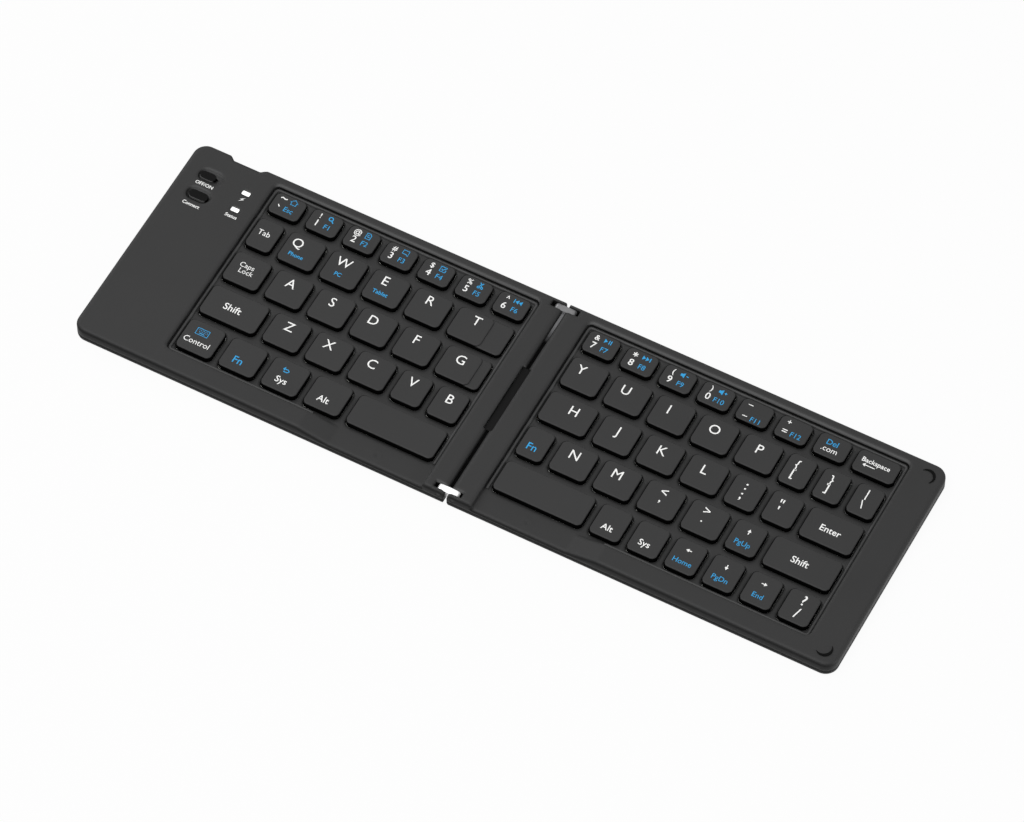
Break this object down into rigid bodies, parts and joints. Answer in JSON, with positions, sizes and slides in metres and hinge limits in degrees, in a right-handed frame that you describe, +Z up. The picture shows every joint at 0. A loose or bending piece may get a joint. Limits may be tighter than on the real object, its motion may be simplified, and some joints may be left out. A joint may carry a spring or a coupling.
{
  "type": "folding keyboard",
  "caption": "Slim two-part keyboard that folds over on itself about a pair of short steel links, with scissor keys, power slide and charging port.",
  "frame": {"origin": "on the fold line, midway front to rear, on the surface that the rubber feet stand on", "axes": "+X along the keyboard to the right half, +Y to the rear edge with the charging port, +Z up"},
  "size_m": [0.302, 0.0924, 0.0071],
  "materials": {
    "case": "fine satin grain, charcoal",
    "keycap": "fine matt grain, charcoal, printed",
    "plate_steel": "plain rolled sheet",
    "membrane_film": "clear film with printed tracks",
    "dome_rubber": "soft milky silicone",
    "scissor_plastic": "natural white moulded plastic",
    "link_steel": "polished edges",
    "spine_steel": "polished",
    "cover_rubber": "soft black",
    "pin_steel": "ground",
    "cable_film": "amber film",
    "circuit_board": "green lacquer",
    "port_steel": "bright drawn shell",
    "battery_foil": "silvery pouch foil",
    "switch_plastic": "black, half gloss",
    "lens": "milky light guide",
    "magnet": "nickel plated",
    "screw_steel": "blackened",
    "foot_rubber": "matt black",
    "bumper_rubber": "soft black"
  },
  "bodies": {
    "left_half": {"left_upper_case": "case", "left_lower_case": "case", "left_key_plate": "plate_steel", "left_membrane": "membrane_film", "left_rubber_domes": "dome_rubber", "left_scissor_frames": "scissor_plastic", "left_hinge_pins": "pin_steel", "main_board": "circuit_board", "charging_port": "port_steel", "battery_pack": "battery_foil", "indicator_lenses": "lens", "left_closing_magnets": "magnet", "left_screws": "screw_steel", "left_rubber_feet": "foot_rubber"},
    "hinge_link": {"hinge_links": "link_steel", "hinge_spine": "spine_steel", "spine_cover": "cover_rubber", "flex_cable": "cable_film"},
    "right_half": {"right_upper_case": "case", "right_lower_case": "case", "right_key_plate": "plate_steel", "right_membrane": "membrane_film", "right_rubber_domes": "dome_rubber", "right_scissor_frames": "scissor_plastic", "right_hinge_pins": "pin_steel", "right_closing_magnets": "magnet", "right_screws": "screw_steel", "right_rubber_feet": "foot_rubber", "corner_bumpers": "bumper_rubber"},
    "escape_key": {"escape_key": "keycap"},
    "left_number_keys": {"left_number_keys": "keycap"},
    "tab_key": {"tab_key": "keycap"},
    "left_upper_letter_keys": {"left_upper_letter_keys": "keycap"},
    "stepped_t_key": {"stepped_t_key": "keycap"},
    "caps_lock_key": {"caps_lock_key": "keycap"},
    "left_home_letter_keys": {"left_home_letter_keys": "keycap"},
    "stepped_g_key": {"stepped_g_key": "keycap"},
    "left_shift_key": {"left_shift_key": "keycap"},
    "left_lower_letter_keys": {"left_lower_letter_keys": "keycap"},
    "control_key": {"control_key": "keycap"},
    "left_modifier_keys": {"left_modifier_keys": "keycap"},
    "left_space_key": {"left_space_key": "keycap"},
    "right_number_keys": {"right_number_keys": "keycap"},
    "delete_key": {"delete_key": "keycap"},
    "backspace_key": {"backspace_key": "keycap"},
    "right_upper_letter_keys": {"right_upper_letter_keys": "keycap"},
    "bracket_keys": {"bracket_keys": "keycap"},
    "right_home_letter_keys": {"right_home_letter_keys": "keycap"},
    "punctuation_keys": {"punctuation_keys": "keycap"},
    "enter_key": {"enter_key": "keycap"},
    "right_fn_key": {"right_fn_key": "keycap"},
    "right_lower_letter_keys": {"right_lower_letter_keys": "keycap"},
    "up_arrow_key": {"up_arrow_key": "keycap"},
    "right_shift_key": {"right_shift_key": "keycap"},
    "right_space_key": {"right_space_key": "keycap"},
    "right_modifier_keys": {"right_modifier_keys": "keycap"},
    "arrow_keys": {"arrow_keys": "keycap"},
    "slash_key": {"slash_key": "keycap"},
    "power_switch": {"power_switch": "switch_plastic"},
    "connect_button": {"connect_button": "switch_plastic"}
  },
  "joints": [
    {"name": "left_fold", "type": "hinge", "parent": "left_half", "child": "hinge_link", "pos_m": [-0.0029, 0, 0.0048], "axis": [0, -1, 0], "range_deg": [0, 90], "deforming": ["spine_cover", "flex_cable"]},
    {"name": "right_fold", "type": "hinge", "parent": "hinge_link", "child": "right_half", "pos_m": [0.0029, 0, 0.0048], "axis": [0, -1, 0], "range_deg": [0, 90], "deforming": ["spine_cover", "flex_cable"]},
    {"name": "escape_key_press", "type": "slide", "parent": "left_half", "child": "escape_key", "axis": [0, 0, -1], "range_m": [0, 0.0015], "stiffness_N_per_m": 300, "springref_m": -0.001, "deforming": ["left_rubber_domes", "left_scissor_frames"]},
    {"name": "left_number_keys_press", "type": "slide", "parent": "left_half", "child": "left_number_keys", "axis": [0, 0, -1], "range_m": [0, 0.0015], "stiffness_N_per_m": 300, "springref_m": -0.001, "deforming": ["left_rubber_domes", "left_scissor_frames"]},
    {"name": "tab_key_press", "type": "slide", "parent": "left_half", "child": "tab_key", "axis": [0, 0, -1], "range_m": [0, 0.0015], "stiffness_N_per_m": 300, "springref_m": -0.001, "deforming": ["left_rubber_domes", "left_scissor_frames"]},
    {"name": "left_upper_letter_keys_press", "type": "slide", "parent": "left_half", "child": "left_upper_letter_keys", "axis": [0, 0, -1], "range_m": [0, 0.0015], "stiffness_N_per_m": 300, "springref_m": -0.001, "deforming": ["left_rubber_domes", "left_scissor_frames"]},
    {"name": "stepped_t_key_press", "type": "slide", "parent": "left_half", "child": "stepped_t_key", "axis": [0, 0, -1], "range_m": [0, 0.0015], "stiffness_N_per_m": 300, "springref_m": -0.001, "deforming": ["left_rubber_domes", "left_scissor_frames"]},
    {"name": "caps_lock_key_press", "type": "slide", "parent": "left_half", "child": "caps_lock_key", "axis": [0, 0, -1], "range_m": [0, 0.0015], "stiffness_N_per_m": 300, "springref_m": -0.001, "deforming": ["left_rubber_domes", "left_scissor_frames"]},
    {"name": "left_home_letter_keys_press", "type": "slide", "parent": "left_half", "child": "left_home_letter_keys", "axis": [0, 0, -1], "range_m": [0, 0.0015], "stiffness_N_per_m": 300, "springref_m": -0.001, "deforming": ["left_rubber_domes", "left_scissor_frames"]},
    {"name": "stepped_g_key_press", "type": "slide", "parent": "left_half", "child": "stepped_g_key", "axis": [0, 0, -1], "range_m": [0, 0.0015], "stiffness_N_per_m": 300, "springref_m": -0.001, "deforming": ["left_rubber_domes", "left_scissor_frames"]},
    {"name": "left_shift_key_press", "type": "slide", "parent": "left_half", "child": "left_shift_key", "axis": [0, 0, -1], "range_m": [0, 0.0015], "stiffness_N_per_m": 300, "springref_m": -0.001, "deforming": ["left_rubber_domes", "left_scissor_frames"]},
    {"name": "left_lower_letter_keys_press", "type": "slide", "parent": "left_half", "child": "left_lower_letter_keys", "axis": [0, 0, -1], "range_m": [0, 0.0015], "stiffness_N_per_m": 300, "springref_m": -0.001, "deforming": ["left_rubber_domes", "left_scissor_frames"]},
    {"name": "control_key_press", "type": "slide", "parent": "left_half", "child": "control_key", "axis": [0, 0, -1], "range_m": [0, 0.0015], "stiffness_N_per_m": 300, "springref_m": -0.001, "deforming": ["left_rubber_domes", "left_scissor_frames"]},
    {"name": "left_modifier_keys_press", "type": "slide", "parent": "left_half", "child": "left_modifier_keys", "axis": [0, 0, -1], "range_m": [0, 0.0015], "stiffness_N_per_m": 300, "springref_m": -0.001, "deforming": ["left_rubber_domes", "left_scissor_frames"]},
    {"name": "left_space_key_press", "type": "slide", "parent": "left_half", "child": "left_space_key", "axis": [0, 0, -1], "range_m": [0, 0.0015], "stiffness_N_per_m": 300, "springref_m": -0.001, "deforming": ["left_rubber_domes", "left_scissor_frames"]},
    {"name": "right_number_keys_press", "type": "slide", "parent": "right_half", "child": "right_number_keys", "axis": [0, 0, -1], "range_m": [0, 0.0015], "stiffness_N_per_m": 300, "springref_m": -0.001, "deforming": ["right_rubber_domes", "right_scissor_frames"]},
    {"name": "delete_key_press", "type": "slide", "parent": "right_half", "child": "delete_key", "axis": [0, 0, -1], "range_m": [0, 0.0015], "stiffness_N_per_m": 300, "springref_m": -0.001, "deforming": ["right_rubber_domes", "right_scissor_frames"]},
    {"name": "backspace_key_press", "type": "slide", "parent": "right_half", "child": "backspace_key", "axis": [0, 0, -1], "range_m": [0, 0.0015], "stiffness_N_per_m": 300, "springref_m": -0.001, "deforming": ["right_rubber_domes", "right_scissor_frames"]},
    {"name": "right_upper_letter_keys_press", "type": "slide", "parent": "right_half", "child": "right_upper_letter_keys", "axis": [0, 0, -1], "range_m": [0, 0.0015], "stiffness_N_per_m": 300, "springref_m": -0.001, "deforming": ["right_rubber_domes", "right_scissor_frames"]},
    {"name": "bracket_keys_press", "type": "slide", "parent": "right_half", "child": "bracket_keys", "axis": [0, 0, -1], "range_m": [0, 0.0015], "stiffness_N_per_m": 300, "springref_m": -0.001, "deforming": ["right_rubber_domes", "right_scissor_frames"]},
    {"name": "right_home_letter_keys_press", "type": "slide", "parent": "right_half", "child": "right_home_letter_keys", "axis": [0, 0, -1], "range_m": [0, 0.0015], "stiffness_N_per_m": 300, "springref_m": -0.001, "deforming": ["right_rubber_domes", "right_scissor_frames"]},
    {"name": "punctuation_keys_press", "type": "slide", "parent": "right_half", "child": "punctuation_keys", "axis": [0, 0, -1], "range_m": [0, 0.0015], "stiffness_N_per_m": 300, "springref_m": -0.001, "deforming": ["right_rubber_domes", "right_scissor_frames"]},
    {"name": "enter_key_press", "type": "slide", "parent": "right_half", "child": "enter_key", "axis": [0, 0, -1], "range_m": [0, 0.0015], "stiffness_N_per_m": 300, "springref_m": -0.001, "deforming": ["right_rubber_domes", "right_scissor_frames"]},
    {"name": "right_fn_key_press", "type": "slide", "parent": "right_half", "child": "right_fn_key", "axis": [0, 0, -1], "range_m": [0, 0.0015], "stiffness_N_per_m": 300, "springref_m": -0.001, "deforming": ["right_rubber_domes", "right_scissor_frames"]},
    {"name": "right_lower_letter_keys_press", "type": "slide", "parent": "right_half", "child": "right_lower_letter_keys", "axis": [0, 0, -1], "range_m": [0, 0.0015], "stiffness_N_per_m": 300, "springref_m": -0.001, "deforming": ["right_rubber_domes", "right_scissor_frames"]},
    {"name": "up_arrow_key_press", "type": "slide", "parent": "right_half", "child": "up_arrow_key", "axis": [0, 0, -1], "range_m": [0, 0.0015], "stiffness_N_per_m": 300, "springref_m": -0.001, "deforming": ["right_rubber_domes", "right_scissor_frames"]},
    {"name": "right_shift_key_press", "type": "slide", "parent": "right_half", "child": "right_shift_key", "axis": [0, 0, -1], "range_m": [0, 0.0015], "stiffness_N_per_m": 300, "springref_m": -0.001, "deforming": ["right_rubber_domes", "right_scissor_frames"]},
    {"name": "right_space_key_press", "type": "slide", "parent": "right_half", "child": "right_space_key", "axis": [0, 0, -1], "range_m": [0, 0.0015], "stiffness_N_per_m": 300, "springref_m": -0.001, "deforming": ["right_rubber_domes", "right_scissor_frames"]},
    {"name": "right_modifier_keys_press", "type": "slide", "parent": "right_half", "child": "right_modifier_keys", "axis": [0, 0, -1], "range_m": [0, 0.0015], "stiffness_N_per_m": 300, "springref_m": -0.001, "deforming": ["right_rubber_domes", "right_scissor_frames"]},
    {"name": "arrow_keys_press", "type": "slide", "parent": "right_half", "child": "arrow_keys", "axis": [0, 0, -1], "range_m": [0, 0.0015], "stiffness_N_per_m": 300, "springref_m": -0.001, "deforming": ["right_rubber_domes", "right_scissor_frames"]},
    {"name": "slash_key_press", "type": "slide", "parent": "right_half", "child": "slash_key", "axis": [0, 0, -1], "range_m": [0, 0.0015], "stiffness_N_per_m": 300, "springref_m": -0.001, "deforming": ["right_rubber_domes", "right_scissor_frames"]},
    {"name": "power_slide", "type": "slide", "parent": "left_half", "child": "power_switch", "axis": [1, 0, 0], "range_m": [0, 0.0024]},
    {"name": "connect_press", "type": "slide", "parent": "left_half", "child": "connect_button", "axis": [0, 0, -1], "range_m": [0, 0.0003], "stiffness_N_per_m": 1500, "springref_m": -0.0003}
  ]
}
